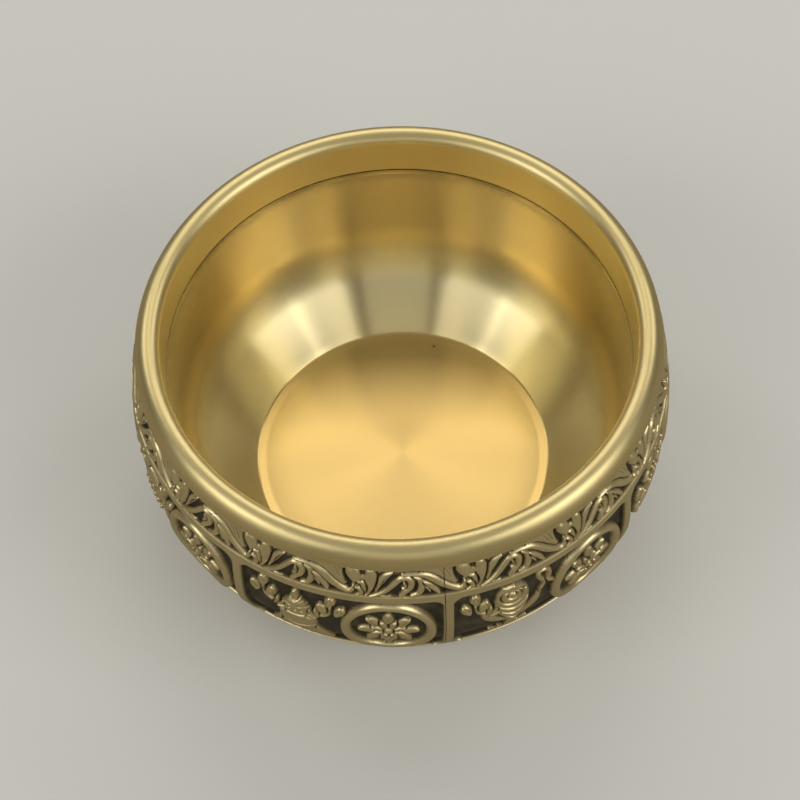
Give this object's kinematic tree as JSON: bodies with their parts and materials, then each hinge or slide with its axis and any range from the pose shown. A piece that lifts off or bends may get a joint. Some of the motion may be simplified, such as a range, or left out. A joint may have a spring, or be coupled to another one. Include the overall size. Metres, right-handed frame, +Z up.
{
  "type": "relief-cast brass bowl",
  "caption": "Round double-walled brass bowl with a turned lip, a smooth flat-floored liner, a relief belly with framed medallions and a low foot ring.",
  "frame": {"origin": "centre of the foot ring's bottom face, on the surface the bowl stands on", "axes": "+Z up through the middle of the mouth, -Y towards the front of the bowl, +X to the right seen from the front"},
  "size_m": [0.1592, 0.1592, 0.08],
  "materials": {
    "rim_brass": "turned and satin polished",
    "liner_brass": "turned, fine concentric tool marks",
    "relief_brass": "cast, dark patina in the grounds, rubbed bright on the high relief",
    "foot_brass": "turned, lightly patinated"
  },
  "bodies": {
    "root": {"rim_ring": "rim_brass", "inner_bowl": "liner_brass", "relief_shell_right": "relief_brass", "relief_shell_left": "relief_brass", "foot_ring": "foot_brass", "base_plate": "foot_brass"}
  },
  "joints": []
}
